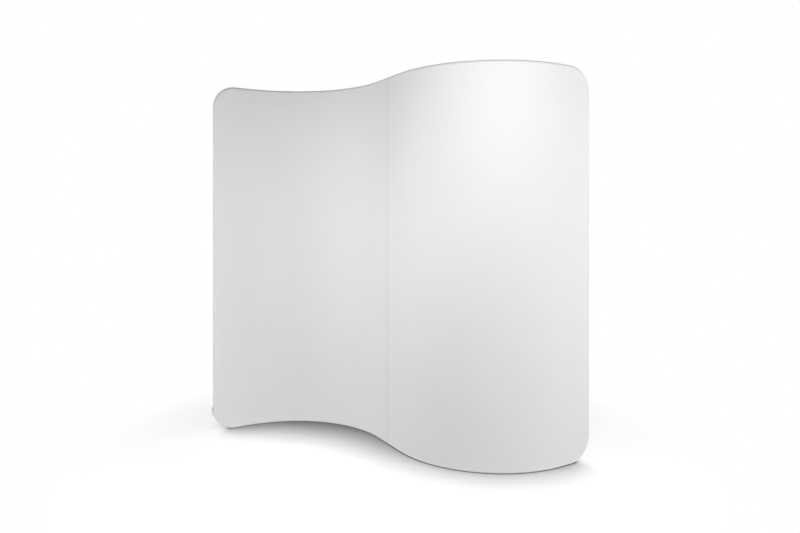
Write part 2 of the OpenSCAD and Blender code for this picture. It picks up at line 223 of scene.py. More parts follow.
def run_tree(name, source, tree, values, material):
    """Runs a tree on a mesh and keeps its result as a plain mesh object."""
    modifier = source.modifiers.new(tree.name, "NODES")
    modifier.node_group = tree
    sockets = {s.name: s.identifier for s in tree.interface.items_tree if s.in_out == "INPUT"}
    for label, value in {**values, "Material": material}.items():
        modifier[sockets[label]] = value
    source.update_tag()
    evaluated = source.evaluated_get(bpy.context.evaluated_depsgraph_get())
    mesh = bpy.data.meshes.new_from_object(evaluated)
    mesh.name = name
    piece = bpy.data.objects.new(name, mesh)
    bpy.context.scene.collection.objects.link(piece)
    flat_mesh = source.data
    bpy.data.objects.remove(source)
    bpy.data.meshes.remove(flat_mesh)
    print(f"{name}: {len(mesh.vertices)} vertices, {len(mesh.polygons)} faces")
    return piece


def mesh_object(name, points, faces=(), edges=(), uv=None, smooth=True):
    """Makes an object from points and faces. uv holds one pair for each point."""
    mesh = bpy.data.meshes.new(name)
    mesh.from_pydata([tuple(p) for p in points], list(edges), [tuple(f) for f in faces])
    if uv:
        layer = mesh.uv_layers.new(name="UVMap").data
        for loop in mesh.loops:
            layer[loop.index].uv = uv[loop.vertex_index]
    mesh.polygons.foreach_set("use_smooth", [smooth] * len(mesh.polygons))
    piece = bpy.data.objects.new(name, mesh)
    bpy.context.scene.collection.objects.link(piece)
    return piece


print("tree runner is ready")

# %% [markdown]
# ## Finishes
#
# Two effects are shared, so each is a shader node group: a fine mottle that keeps any
# surface from one flat tone, and crossed threads, which make the stretch cloth's knit of
# small loops and the tapes' plain weave. A group gives only masks and heights. The shader
# itself stays in each material, with its even numbers set on its own sockets.

# %% The shared effects
mottle, start, end = new_tree(
    "mottle",
    [VECTOR, number("Scale", 100.0), number("Low", 0.0), number("High", 1.0)],
    [number("Value", None)],
    "ShaderNodeTree",
)
noise = add(mottle, "ShaderNodeTexNoise",
            {"Vector": start["Vector"], "Scale": start["Scale"], "Detail": 3.0})
spread = add(mottle, "ShaderNodeMapRange", {
    "Value": noise.outputs["Fac"], "From Min": 0.25, "From Max": 0.75,
    "To Min": start["Low"], "To Max": start["High"],
})
fill(mottle, end["Value"], spread.outputs["Result"])

weave, start, end = new_tree(
    "crossed_threads",
    [VECTOR, number("Across", 1000.0), number("Along", 1000.0), number("Lean", 0.0)],
    [number("Height", None)],
    "ShaderNodeTree",
)
do = sums(weave)
place = add(weave, "ShaderNodeSeparateXYZ", {0: start["Vector"]}).outputs
course = do("MULTIPLY", place["Y"], start["Along"])
leaning = do("MULTIPLY", do("PINGPONG", course, 1.0), start["Lean"])
wale = do("ADD", do("MULTIPLY", place["X"], start["Across"]), leaning)
ridge = do("SINE", do("MULTIPLY", wale, 2 * math.pi))
loop = do("SINE", do("MULTIPLY", course, 2 * math.pi))
height = do("MULTIPLY_ADD", do("MULTIPLY", ridge, loop), 0.25, do("MULTIPLY_ADD", ridge, 0.25, 0.5))
fill(weave, end["Height"], height)
print("shared effects:", mottle.name, weave.name)


# %% A start for every material
def grey(shade):
    """A colour without a tint."""
    return (shade,) * 3


def new_material(name, colour, roughness, **even):
    """A material with one Principled shader. Even numbers are set on the shader's own sockets."""
    material = bpy.data.materials.new(name)
    material.use_nodes = True
    tree = material.node_tree
    shader = tree.nodes["Principled BSDF"]
    shader.inputs["Base Color"].default_value = (*colour, 1.0)
    shader.inputs["Roughness"].default_value = roughness
    for label, value in even.items():
        shader.inputs[label.replace("_", " ")].default_value = value
    return material, tree, shader


def effect(tree, group, **inputs):
    """Places a shared effect in a material's tree."""
    node = tree.nodes.new("ShaderNodeGroup")
    node.node_tree = group
    for label, value in inputs.items():
        fill(tree, node.inputs[label], value)
    return node.outputs[0]


def speckle(tree, place, scale, low=0.0, high=1.0):
    """The mottle at a scale, between two values."""
    return effect(tree, mottle, Vector=place, Scale=scale, Low=low, High=high)


def place_of(tree, uv=False):
    """The cloth's own flat map, or the object's place in metres."""
    return tree.nodes.new("ShaderNodeTexCoord").outputs["UV" if uv else "Object"]


def tone(tree, shader, value, dark, pale):
    """Colours the shader between a dark and a pale tone."""
    mix = add(tree, "ShaderNodeMix", data_type="RGBA")
    fill(tree, mix.inputs["Factor"], value)
    mix.inputs[6].default_value = (*dark, 1.0)
    mix.inputs[7].default_value = (*pale, 1.0)
    tree.links.new(mix.outputs[2], shader.inputs["Base Color"])


def bump(tree, shader, height, distance, strength=1.0):
    """Raises the shader's surface by a height map."""
    node = add(tree, "ShaderNodeBump",
               {"Height": height, "Distance": distance, "Strength": strength})
    tree.links.new(node.outputs[0], shader.inputs["Normal"])


print("material helpers are ready")

# %% [markdown]
# ## The stretch cloth's finish
#
# Display cloth is a matt warp knit in bright white. Its rows of loops are a bit over a
# millimetre apart. The pattern reads the cloth's own flat map in metres, so it follows
# the cloth round the curves and over the edges. The shadow of the post behind the cloth is
# painted on as a band that is barely darker. Sheen gives the soft lift that knits have at a grazing
# angle.

# %% Cloth
# The post's painted shadow is darkest up to the first distance from the middle and gone at the
# second.
# Wales and courses are the knit's columns and rows of loops, as counts to the metre.
POST_SHADOW_DARK, POST_SHADOW_END = 0.008, 0.026
# How dark the post's painted shadow is, as a share of the cloth's shade
POST_SHADOW_SHADE = 0.955
WALES, COURSES = 800.0, 620.0
KNIT_DEPTH = 0.00025


def cloth_material(name, shade):
    """Matt knit with a painted shadow of the post down its middle."""
    material, tree, shader = new_material(
        name, grey(shade), 0.85, Sheen_Weight=0.12, Sheen_Roughness=0.5)
    shader.inputs["Specular IOR Level"].default_value = 0.25
    flat_map = place_of(tree, uv=True)
    do = sums(tree)
    across = do("ABSOLUTE", add(tree, "ShaderNodeSeparateXYZ", {0: flat_map}).outputs["X"])
    # Painted shadow of the post: the cloth's colour is darker in a narrow band down the middle of
    # its flat map.
    post_shadow = add(tree, "ShaderNodeMapRange", {
        "Value": across, "From Min": POST_SHADOW_DARK, "From Max": POST_SHADOW_END, "To Min": 0.0, "To Max": 1.0,
    }, interpolation_type="SMOOTHSTEP").outputs["Result"]
    cloudy = speckle(tree, flat_map, 3.0, 0.8, 1.0)
    tone(tree, shader, do("MULTIPLY", post_shadow, cloudy), grey(shade * POST_SHADOW_SHADE), grey(shade))
    knit = effect(tree, weave, Vector=flat_map, Across=WALES, Along=COURSES, Lean=0.3)
    bump(tree, shader, knit, KNIT_DEPTH, 0.8)
    return material


CLOTH = cloth_material("stretch_cloth", 0.88)
print(CLOTH.name)

# %% [markdown]
# ## Zip, thread and metal finishes
#
# The tapes are a white plain weave, the sewing thread is twisted, and the teeth are moulded
# in a slightly glossy plastic. The slider is enamelled metal with a worn satin, and its pull
# is moulded. Inside the cover the tubes are drawn aluminium, with turned steel buttons on
# springs of blued strip. None of these is one flat tone.

# %% Small parts
FINE_GRAIN = 0.00002


def tape_material():
    """A plain weave of 1250 threads to the metre each way."""
    material, tree, shader = new_material("tape_weave", grey(0.84), 0.8, Sheen_Weight=0.1)
    flat_map = place_of(tree, uv=True)
    tone(tree, shader, speckle(tree, flat_map, 900.0, 0.4), grey(0.76), grey(0.86))
    threads = effect(tree, weave, Vector=flat_map, Across=1250.0, Along=1250.0, Lean=0.0)
    bump(tree, shader, threads, 0.0002)
    return material


def thread_material():
    """Twisted thread, too fine for a weave, so it is only speckled and rough."""
    material, tree, shader = new_material("sewing_thread", grey(0.86), 0.6, Sheen_Weight=0.2)
    place = place_of(tree)
    tone(tree, shader, speckle(tree, place, 2600.0, 0.2), grey(0.74), grey(0.88))
    bump(tree, shader, speckle(tree, place, 5200.0), 0.00008)
    return material


def moulded_material(name, shade, roughness):
    """Moulded plastic, cloudy and a little uneven in its gloss."""
    material, tree, shader = new_material(name, grey(shade), roughness)
    place = place_of(tree)
    tone(tree, shader, speckle(tree, place, 350.0), grey(shade * 0.95), grey(shade))
    uneven = speckle(tree, place, 1500.0, roughness - 0.06, roughness + 0.06)
    fill(tree, shader.inputs["Roughness"], uneven)
    bump(tree, shader, speckle(tree, place, 2500.0), FINE_GRAIN)
    return material


def metal_material(name, dark, pale, roughness, grain, metallic=1.0):
    """Metal whose grain is finest along the axes with the largest numbers."""
    material, tree, shader = new_material(name, pale, roughness, Metallic=metallic)
    drawn = add(tree, "ShaderNodeMapping", {"Vector": place_of(tree), "Scale": grain}).outputs[0]
    tone(tree, shader, speckle(tree, drawn, 1.0), dark, pale)
    uneven = speckle(tree, drawn, 2.3, roughness - 0.08, roughness + 0.08)
    fill(tree, shader.inputs["Roughness"], uneven)
    bump(tree, shader, speckle(tree, drawn, 3.1), FINE_GRAIN)
    return material


TAPE = tape_material()
THREAD = thread_material()
TEETH = moulded_material("moulded_teeth", 0.86, 0.35)
PULL = moulded_material("moulded_pull", 0.86, 0.5)
ENAMEL = metal_material(
    "enamelled_slider", (0.74, 0.74, 0.73), (0.82, 0.82, 0.81), 0.32, (500.0,) * 3, metallic=0.0)
ALUMINIUM = ((0.66, 0.67, 0.68), (0.78, 0.79, 0.80), 0.34)
TUBE = metal_material("drawn_aluminium", *ALUMINIUM, (700.0, 700.0, 25.0))
TUBE_LEVEL = metal_material("drawn_aluminium_level", *ALUMINIUM, (25.0, 25.0, 700.0))
STEEL = metal_material("turned_steel", (0.55, 0.55, 0.54), (0.68, 0.68, 0.67), 0.28, (900.0,) * 3)
SPRING = metal_material("blued_strip", (0.38, 0.40, 0.44), (0.52, 0.54, 0.58), 0.36, (400.0,) * 3)
finishes = (TAPE, THREAD, TEETH, PULL, ENAMEL, TUBE, TUBE_LEVEL, STEEL, SPRING)
print("finishes:", ", ".join(finish.name for finish in finishes))

# %% [markdown]
# ## The two cloths
#
# Each face of the cover is one sheet. It is flat between the tubes, apart from the pull of
# the stretch, and wraps round the outer tubes to the seam. It could be modelled by hand or
# simulated, but a tight stretch cover has a simple form, so the sheet is laid out flat as a
# grid whose corner columns shorten to follow the rounded corners, with its border carried
# on round the tube. The stretch draws both sheets a little towards the inside of each
# curve, most at mid-height, and the centre post stands behind them as a soft ridge.

# %% Columns and rows of the flat sheet
def spaced(low, high, step):
    """Even values from low to high, no further apart than step."""
    count = max(1, math.ceil((high - low) / step - 1e-9))
    return [low + (high - low) * i / count for i in range(count + 1)]


# Columns are close together over the centre post and even round the curve. Past the
# start of the corner bend they are spaced so that the corner's outline turns evenly.
CORNER_STEPS = 18
half_columns = [0.0, 0.003, 0.006, 0.009, 0.012, 0.015, 0.018, 0.022, 0.028, 0.038, 0.052, 0.070]
half_columns += spaced(MID_RUN, CURVE_END, 0.016)
half_columns += spaced(CURVE_END, BEND_U, 0.02)[1:]
for step in range(1, CORNER_STEPS + 1):
    half_columns.append(BEND_U + CORNER_R * math.sin(math.pi / 2 * step / CORNER_STEPS))
columns = [-u for u in reversed(half_columns[1:])] + half_columns
LAST = len(columns) - 1

# Rows are shares of a column's height. They are close together near both ends, and two of
# them hold the place where the slot between the cloths changes its width.
mouth = (ZIP_TOP - Z_LOW_BEND) / (Z_HIGH_BEND - Z_LOW_BEND)
near_end = [0.003, 0.0065, 0.014, 0.02, 0.03, 0.042, 0.056, 0.072]
shares = [0.0, mouth - 0.00003, mouth + 0.00003, *near_end, *spaced(0.09, 0.91, 0.018)]
shares = sorted(shares + [1 - share for share in near_end] + [1.0])
ROWS = len(shares) - 1


def ends_of(u):
    """How far the flat part reaches down and up at U, and which way its border points there."""
    past = max(0.0, abs(u) - BEND_U)
    drop = math.sqrt(max(0.0, CORNER_R ** 2 - past ** 2))
    aim = Vector((math.copysign(past, u), 0.0, -drop)).normalized() if past else Vector((0, 0, -1))
    return Z_LOW_BEND - drop, Z_HIGH_BEND + drop, aim


# The most that the cloths are drawn in, and the height and half width of the post's ridge.
# The powers say how flat the pull stays near the ends and the ridge up to its own.
PULL_IN = 0.010
PULL_POWER = 1.2
RIDGE = 0.0007
RIDGE_HALF = 0.011
RIDGE_POWER = 12


def pulled(u, z):
    """How far the stretch moves the flat part of both sheets, and how far the post lifts each."""
    height = (2 * z - Z_TOP - Z_BOTTOM) / (Z_TOP - Z_BOTTOM)
    along = math.sin(math.pi * min(1.0, abs(u) / HALF_U)) ** PULL_POWER
    rise = math.exp(-(u / RIDGE_HALF) ** 2) * max(0.0, 1 - abs(height) ** RIDGE_POWER)
    drawn_in = math.copysign(1.0, u) * PULL_IN * along * max(0.0, 1 - height ** 2)
    return drawn_in, RIDGE * rise


print(len(columns), "columns and", ROWS + 1, "rows")


# %% The flat sheet and its border
WRAP_STEPS = 10


def slot_of(z):
    """Half of the slot that the cloths leave along the edge line: wide at the zip, narrow above."""
    return SLOT_HALF if z < ZIP_TOP else SEAM_HALF


def way_out(i, j):
    """Which way the sheet's border points at a column and row."""
    u = columns[i]
    if i in (0, LAST):
        return Vector((math.copysign(1.0, u), 0, 0))
    _, _, aim = ends_of(u)
    return Vector((aim.x, 0, -aim.z)) if j == ROWS else aim


def cover_sheet(name, side):
    """A sheet as a grid, its border carried on round the tube. side is -1 in front and 1 behind."""
    points, uv, index = [], [], {}
    for i, u in enumerate(columns):
        low, high, _ = ends_of(u)
        for j, share in enumerate(shares):
            z = low + (high - low) * share
            moved, rise = pulled(u, z)
            index[i, j] = len(points)
            points.append((u, side * (COVER_R + rise) + moved, z))
            uv.append((u, z))
    faces = [(index[i, j], index[i + 1, j], index[i + 1, j + 1], index[i, j + 1])
             for i in range(LAST) for j in range(ROWS)]
    border = [(i, 0) for i in range(LAST)] + [(LAST, j) for j in range(ROWS)]
    border += [(i, ROWS) for i in range(LAST, 0, -1)] + [(0, j) for j in range(ROWS, 0, -1)]
    ring = [index[key] for key in border]
    for step in range(1, WRAP_STEPS + 1):
        next_ring = []
        for i, j in border:
            u, z = columns[i], points[index[i, j]][2]
            aim = way_out(i, j)
            angle = math.acos(slot_of(z) / COVER_R) * step / WRAP_STEPS
            out = COVER_R * math.sin(angle)
            next_ring.append(len(points))
            points.append((u + aim.x * out, side * COVER_R * math.cos(angle), z + aim.z * out))
            uv.append((u + aim.x * COVER_R * angle, z + aim.z * COVER_R * angle))
        following = ring[1:] + ring[:1], next_ring[1:] + next_ring[:1]
        faces += [(a, b, d, c) for a, b, c, d in zip(ring, next_ring, *following)]
        ring = next_ring
    if side > 0:
        faces = [tuple(reversed(f)) for f in faces]
    return mesh_object(name, points, faces, uv=uv)


# %% Bend the sheets to the S
dress, start, end = new_tree("bent_piece", [GEOMETRY, MATERIAL], [GEOMETRY])
bend_and_paint(dress, start["Geometry"], start, end)

# Each cloth is cut unrolled, with a wrap of about 1.5 radii round the tubes at each end.
# Its corners are rounded, which takes a little off the area.
for name, node, side in (("front_cloth", "front_panel", -1), ("back_cloth", "back_panel", 1)):
    cloth = run_tree(name, cover_sheet(name + "_flat", side), dress, {}, CLOTH)
    thick = cloth.modifiers.new("cloth_thickness", "SOLIDIFY")
    thick.thickness = CLOTH_T
    thick.offset = -1.0
    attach(cloth, "wall")
    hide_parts(node)

# %% [markdown]
# ## Lines round the edge
#
# The seam, the tapes and the teeth follow the edge line at different distances from the
# tube. Two functions list its points in the flat frame, one for the seam's part and one for
# the zip's, both clockwise as seen from the front. The cross product of the line's direction
# and D then points outwards everywhere, which is how the tree below knows which way is up
# for a tooth or a stitch.

# %% Points of the edge line
# The teeth stop at the slider's mouth on the left and at the end stop on the right
LEFT_TEETH = Z_LOW_BEND + 0.0042
RIGHT_TEETH = ZIP_TOP - 0.0033
TURNS = [math.pi / 2 * i / 30 for i in range(31)]
LEVEL_STEP = 0.012


def seam_line(out):
    """The seam's way: up the left side, over the top and down the right side to the zip's end."""
    r = CORNER_R + out
    side = spaced(ZIP_TOP, Z_HIGH_BEND, 0.05)[:-1]
    line = [(-HALF_U - out, z) for z in side]
    line += [(-BEND_U - r * math.cos(a), Z_HIGH_BEND + r * math.sin(a)) for a in TURNS]
    line += [(u, Z_TOP + out) for u in spaced(-BEND_U, BEND_U, LEVEL_STEP)[1:-1]]
    line += [(BEND_U + r * math.sin(a), Z_HIGH_BEND + r * math.cos(a)) for a in TURNS]
    line += [(HALF_U + out, z) for z in reversed(side)]
    return [Vector((u, 0.0, z)) for u, z in line]


def zip_line(out, right_top=ZIP_TOP, left_top=ZIP_TOP):
    """The zip's way: down the right side, along the bottom to the left and up the left side."""
    r = CORNER_R + out
    line = [(HALF_U + out, z) for z in reversed(spaced(Z_LOW_BEND, right_top, 0.02)[1:])]
    line += [(BEND_U + r * math.cos(a), Z_LOW_BEND - r * math.sin(a)) for a in TURNS]
    line += [(u, Z_BOTTOM - out) for u in reversed(spaced(-BEND_U, BEND_U, LEVEL_STEP)[1:-1])]
    line += [(-BEND_U - r * math.sin(a), Z_LOW_BEND - r * math.cos(a)) for a in TURNS]
    line += [(-HALF_U - out, z) for z in spaced(Z_LOW_BEND, left_top, 0.02)[1:]]
    return [Vector((u, 0.0, z)) for u, z in line]


def length_of(line):
    """The length of a line of points."""
    return sum((b - a).length for a, b in zip(line, line[1:]))


def line_object(name, line):
    """A bare line of edges, for a tree to follow."""
    return mesh_object(name, line, edges=[(i, i + 1) for i in range(len(line) - 1)])


def close_up(piece):
    """Merges what coincides and points every face outwards."""
    work = bmesh.new()
    work.from_mesh(piece.data)
    bmesh.ops.remove_doubles(work, verts=work.verts, dist=1e-6)
    bmesh.ops.recalc_face_normals(work, faces=work.faces)
    work.to_mesh(piece.data)
    work.free()
    return piece


def strip_object(name, section, top=ZIP_TOP):
    """Sweeps a closed section, points of (D, distance out), along the zip's way."""
    lines = [[p + Vector((0.0, d, 0.0)) for p in zip_line(out, top, top)] for d, out in section]
    gone = [0.0]
    for a, b in zip(lines[0], lines[0][1:]):
        gone.append(gone[-1] + (b - a).length)
    count = len(gone)
    points = [p for line in lines for p in line]
    uv = [(d, g) for d, _ in section for g in gone]
    starts = [k * count for k in range(len(lines))]
    faces = [(here + i, there + i, there + i + 1, here + i + 1)
             for here, there in zip(starts, starts[1:] + starts[:1]) for i in range(count - 1)]
    faces += [tuple(starts), tuple(first + count - 1 for first in starts)]
    return close_up(mesh_object(name, points, faces, uv=uv))


print(f"seam {length_of(seam_line(SEAM_R)):.2f} m, zip {length_of(zip_line(TAPE_R)):.2f} m")

# %% [markdown]
# ## Teeth and stitches
#
# A zip's chain is two rows of the same moulded tooth, half a pitch apart and turned to face
# each other. Overlock stitches and the twin rows of stitches on the tapes repeat in the
# same way. One Geometry Nodes tree does all three: it spaces points along a line, sets a
# shape on each one with its own up pointing outwards, does it again half a step on for the
# other side, and bends the lot. Each shape has few faces, because it is repeated a
# thousand times.

# %% The tree for paired rows
SHAPE = ("Shape", "NodeSocketObject", None)
rows, start, end = new_tree(
    "paired_rows", [GEOMETRY, number("Spacing", 0.0025), SHAPE, MATERIAL], [GEOMETRY])
curve = add(rows, "GeometryNodeMeshToCurve", {"Mesh": start["Geometry"]})
even = add(rows, "GeometryNodeResampleCurve",
           {"Curve": curve.outputs[0], "Length": start["Spacing"]}, mode="LENGTH")
way = add(rows, "GeometryNodeInputTangent").outputs[0]
outward = add(rows, "ShaderNodeVectorMath",
              {0: way, 1: (0, 1, 0)}, operation="CROSS_PRODUCT").outputs[0]
half_step = sums(rows)("MULTIPLY", start["Spacing"], 0.5)
on = add(rows, "ShaderNodeVectorMath", {0: way, "Scale": half_step}, operation="SCALE").outputs[0]
other = add(rows, "GeometryNodeSetPosition", {"Geometry": even.outputs[0], "Offset": on})
shape = add(rows, "GeometryNodeObjectInfo", {"Object": start["Shape"]}).outputs["Geometry"]
both = add(rows, "GeometryNodeJoinGeometry")
for points, across in ((even, (0, 1, 0)), (other, (0, -1, 0))):
    facing = add(rows, "FunctionNodeAxesToRotation",
                 {"Primary Axis": outward, "Secondary Axis": across},
                 primary_axis="Z", secondary_axis="X")
    row = add(rows, "GeometryNodeInstanceOnPoints",
              {"Points": points.outputs[0], "Instance": shape, "Rotation": facing.outputs[0]})
    rows.links.new(row.outputs[0], both.inputs[0])
real = add(rows, "GeometryNodeRealizeInstances", {"Geometry": both.outputs[0]})
bend_and_paint(rows, real.outputs[0], start, end)
print("paired_rows:", len(rows.nodes), "nodes")


# %% One thread and one tooth, in millimetres
def thread_of(*paths, radius=0.17, sides=5):
    """Short lengths of thread as one mesh. Each path is a list of points across, along and out."""
    points, faces = [], []
    for path in paths:
        path = [Vector(p) for p in path]
        first = len(points)
        for i, p in enumerate(path):
            along = (path[min(i + 1, len(path) - 1)] - path[max(i - 1, 0)]).normalized()
            right = along.cross(Vector((0.0, 0.2, 1.0))).normalized()
            up = right.cross(along)
            points += [p + radius * (math.cos(a) * right + math.sin(a) * up)
                       for a in (2 * math.pi * k / sides for k in range(sides))]
        for i in range(len(path) - 1):
            at = first + i * sides
            faces += [(at + k, at + (k + 1) % sides, at + sides + (k + 1) % sides, at + sides + k)
                      for k in range(sides)]
        last = len(points) - sides
        faces += [tuple(range(first, first + sides)), tuple(range(last, last + sides))]
    return close_up(mesh_object("one_stitch", [p / 1000 for p in points], faces))


def one_tooth():
    """A moulded tooth: a broad root, a neck, and a head that locks with the other row's heads."""
    outline = [(-3.5, 0.9), (-1.25, 0.82), (-0.35, 0.45), (0.6, 0.64), (1.0, 0.38)]
    outline += [(x, -y) for x, y in reversed(outline)]
    levels = [(1.0, 1.0, -2.45), (1.0, 1.0, -0.4), (0.93, 0.68, 0.0)]
    points = [(x * a / 1000, y * b / 1000, z / 1000) for a, b, z in levels for x, y in outline]
    n = len(outline)
    faces = [(n * k + i, n * k + (i + 1) % n, n * k + n + (i + 1) % n, n * k + n + i)
             for k in range(2) for i in range(n)]
    faces += [tuple(range(n)), tuple(range(2 * n, 3 * n))]
    return close_up(mesh_object("one_tooth", points, faces, smooth=False))


def repeat_along(name, line, spacing, shape, material, nodes=()):
    """Repeats a shape in paired rows along a line, as one piece of the cover."""
    values = {"Spacing": spacing, "Shape": shape}
    piece = run_tree(name, line_object(name + "_line", line), rows, values, material)
    bpy.data.objects.remove(shape)
    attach(piece, "wall")
    if nodes:
        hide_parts(*nodes)


print("shapes are ready")

# %% [markdown]
# ## The seam
#
# The two cloths meet in an overlocked seam that runs up one side, over the top and down the
# other. The frame's own solid is the folded seam allowance, so it stays and gets the
# thread's finish. Overlock stitches cross it every two millimetres.

# %% Overlock stitches
for material_slot in frame["nodes"]["cover_seam"].material_slots:
    material_slot.material = THREAD
OVERLOCK_STEP = 0.004
overlock = thread_of(
    [(-1.35, -0.55, -0.5), (-0.8, -0.35, 0.1), (0.8, 0.35, 0.1), (1.35, 0.55, -0.5)])
repeat_along("overlock_stitches", seam_line(SEAM_R), OVERLOCK_STEP, overlock, THREAD)

# %% [markdown]
# ## The zip
#
# Two woven tapes are sewn on over the cloths' edges, with two rows of stitches each. The
# moulded teeth hold on to the tapes' inner edges and close over the gap. The chain is what
# the wall stands on, so its teeth end exactly at the floor. A narrow strip behind the teeth
# stands for the tapes' corded edges, which close the gap under the real chain.

# %% Tapes, chain and stitches
# A tape's two edges as distances across from the edge line, and its cords' section
TAPE_NEAR, TAPE_FAR = 0.0016, 0.0108
CORD_R, CORD_TOP, CORD_HALF = 0.01705, 0.01755, 0.0019
CORD_SHORT = 0.0002
TOOTH_PITCH = 0.0025
STITCH_STEP = 0.003
# Millimetres across from the edge line
STITCH_ROWS = (6.2, 9.7)


def arc_section(inner, outer, low, high, steps=7):
    """A section that follows the tube: two arcs, one over the other, closed at their ends."""
    places = [low + (high - low) * i / steps for i in range(steps + 1)]

    def arc(radius):
        return [(d, math.sqrt(radius ** 2 - d ** 2)) for d in places]
    return arc(outer) + arc(inner)[::-1]


for name, node, side in (("front_tape", "zip_tape_front", -1), ("back_tape", "zip_tape_back", 1)):
    section = [(side * d, out) for d, out in arc_section(SEAM_R, TAPE_R, TAPE_NEAR, TAPE_FAR)]
    tape = run_tree(name, strip_object(name + "_flat", section), dress, {}, TAPE)
    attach(tape, "wall")
    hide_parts(node)

cord_edge = arc_section(CORD_R, CORD_TOP, -CORD_HALF, CORD_HALF, 4)
ribbon_flat = strip_object("tape_cords_flat", cord_edge, ZIP_TOP - CORD_SHORT)
ribbon = run_tree("tape_cords", ribbon_flat, dress, {}, TAPE)
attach(ribbon, "wall")

chain_line = zip_line(CHAIN_R, RIGHT_TEETH, LEFT_TEETH)
repeat_along("zip_teeth", chain_line, TOOTH_PITCH, one_tooth(), TEETH, ["zip_chain"])


def dash(across):
    """One stitch on the tape, at a distance across from the edge line, in millimetres."""
    out = math.sqrt(TAPE_R ** 2 - (across / 1000) ** 2) * 1000 - TAPE_R * 1000
    ends, top = out - 0.15, out + 0.1
    return [(across, -0.95, ends), (across, -0.55, top), (across, 0.55, top), (across, 0.95, ends)]


twin_stitch = thread_of(*(dash(across) for across in STITCH_ROWS))
repeat_along("tape_stitches", zip_line(TAPE_R), STITCH_STEP, twin_stitch, THREAD)

# %% [markdown]
# ## Slider, pull and stops
#
# The frame's slider, pull and stops have sharp edges, because they are exact solids. Real
# ones are die-cast or moulded and catch light on rounded edges. A merged copy of each gets
# its flat faces joined up and its edges bevelled, and stands in for the node.

# %% Rounded copies
def rounded_copy(node, body, material, width):
    """A merged copy of a node with rounded edges, riding on the same body."""
    source = frame["nodes"][node]
    piece = bpy.data.objects.new(node + "_rounded", source.data.copy())
    bpy.context.scene.collection.objects.link(piece)
    work = bmesh.new()
    work.from_mesh(piece.data)
    bmesh.ops.remove_doubles(work, verts=work.verts, dist=2e-6)
    bmesh.ops.dissolve_limit(work, angle_limit=math.radians(2), verts=work.verts, edges=work.edges)
    work.to_mesh(piece.data)
    work.free()
    piece.data.materials.clear()
    piece.data.materials.append(material)
    for face in piece.data.polygons:
        face.use_smooth = True
        face.material_index = 0
    rounding = piece.modifiers.new("rounded_edges", "BEVEL")
    rounding.width = width
    rounding.segments = 3
    rounding.limit_method = "ANGLE"
    rounding.angle_limit = math.radians(35)
    rounding.harden_normals = True
    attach(piece, body)
    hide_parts(node)
    print(piece.name, len(piece.data.polygons), "faces before rounding")


rounded_copy("zip_slider", "zip_slider", ENAMEL, 0.00022)
rounded_copy("zip_pull", "zip_pull", PULL, 0.0005)
rounded_copy("zip_stops", "wall", TEETH, 0.0002)

# %% [markdown]
# ## The frame inside
#
# The tubes and buttons are the frame's own solids and only need their finishes. The springs
# get theirs here too, and the copies that are made next take it over. Drawn tube
# has a fine grain along its length, so upright tubes and level tubes get the same metal
# with the grain turned.

# %% Finishes inside the cover
inside = {"post_": TUBE, "rail_": TUBE_LEVEL, "tee_": TUBE_LEVEL, "corner_": TUBE_LEVEL,
          "snap_button_": STEEL, "snap_spring_": SPRING}
dressed = 0
for name, node in frame["nodes"].items():
    for start_of_name, finish in inside.items():
        if name.startswith(start_of_name):
            for material_slot in node.material_slots:
                material_slot.material = finish
            dressed += 1
print(dressed, "nodes dressed inside the cover")

# %% [markdown]
# ## The springs
#
# Each spring is one strip bent into a V. One leg rests on the tube's wall and the other
# carries the button. When the button is pressed, the near leg goes with it and the far leg
# stays. A copy of each spring stands in for its node, and the distance from the V's root
# to its near leg is worked out.

# %% Copies of the springs
# How far a button's tip and the outside of a spring's root stand from the tube's centre line
BUTTON_REACH = 0.019
ROOT_REACH = 0.0034
SPRING_T = 0.0008


def bending_spring(joint):
    """A copy of the spring behind one button, and how far its near leg stands from the V's root."""
    node = joint["name"].replace("press_", "snap_spring_")
    piece = bpy.data.objects.new(node + "_bending", frame["nodes"][node].data.copy())
    bpy.context.scene.collection.objects.link(piece)
    outward = -Vector(joint["axis"]).normalized()
    button = frame["nodes"][joint["child"]]
    button_tip = max(v.co.dot(outward) for v in button.data.vertices)
    root = button_tip - BUTTON_REACH + ROOT_REACH
    near_leg = max(v.co.dot(outward) for v in piece.data.vertices) - SPRING_T
    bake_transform(close_up(piece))
    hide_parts(node)
    return near_leg - root


legs = [bending_spring(joint) for joint in frame["joints"] if joint["name"].startswith("press_")]
print(len(legs), f"springs bend with their buttons, over {1000 * max(legs):.1f} mm")

# %% [markdown]
# ## Floor, light and camera
#
# The wall stands on a pale studio floor that runs into a white background. The world is
# white for camera and reflection rays. The floor takes the lamps' shadows and is darker
# where the wall hides the sky from it, as in the hollow of the S, and further out it turns to
# plain white. A white studio floor also throws light up, which brightens the underside of the
# rounded edge. Soft lamps on both sides shape the S, and the world fills in evenly.

# %% What the floor and the world share
def seen_rays(tree, do):
    """1 where the camera looks, straight or by reflection, and 0 for light that only bounces."""
    rays = add(tree, "ShaderNodeLightPath").outputs
    mirrored = do("MAXIMUM", rays["Is Glossy Ray"], rays["Is Transmission Ray"])
    return do("MAXIMUM", rays["Is Camera Ray"], mirrored)


# What the camera sees of the floor: its shade under the lamps and its own light. Then the
# same two for the light that it throws back up.
FLOOR_SHADE, FLOOR_GLOW = 0.95, 0.52
FLOOR_BOUNCE, FLOOR_LIFT = 0.55, 0.48

# How far away a surface still hides the sky, the shares of open sky between which the
# floor goes from darkest to plain, and how dark the darkest is
HOLLOW_REACH = 0.7
HOLLOW_DARK, HOLLOW_PLAIN = 0.36, 0.8
HOLLOW_SHADE = 0.1

# The distances from the middle between which the floor turns to plain white
WHITE_FROM, WHITE_AT = 1.1, 1.9
WHITE = (1, 1, 1, 1)
WORLD_LIGHT = 0.15
print(f"the floor is plain white from {WHITE_AT} m outwards")

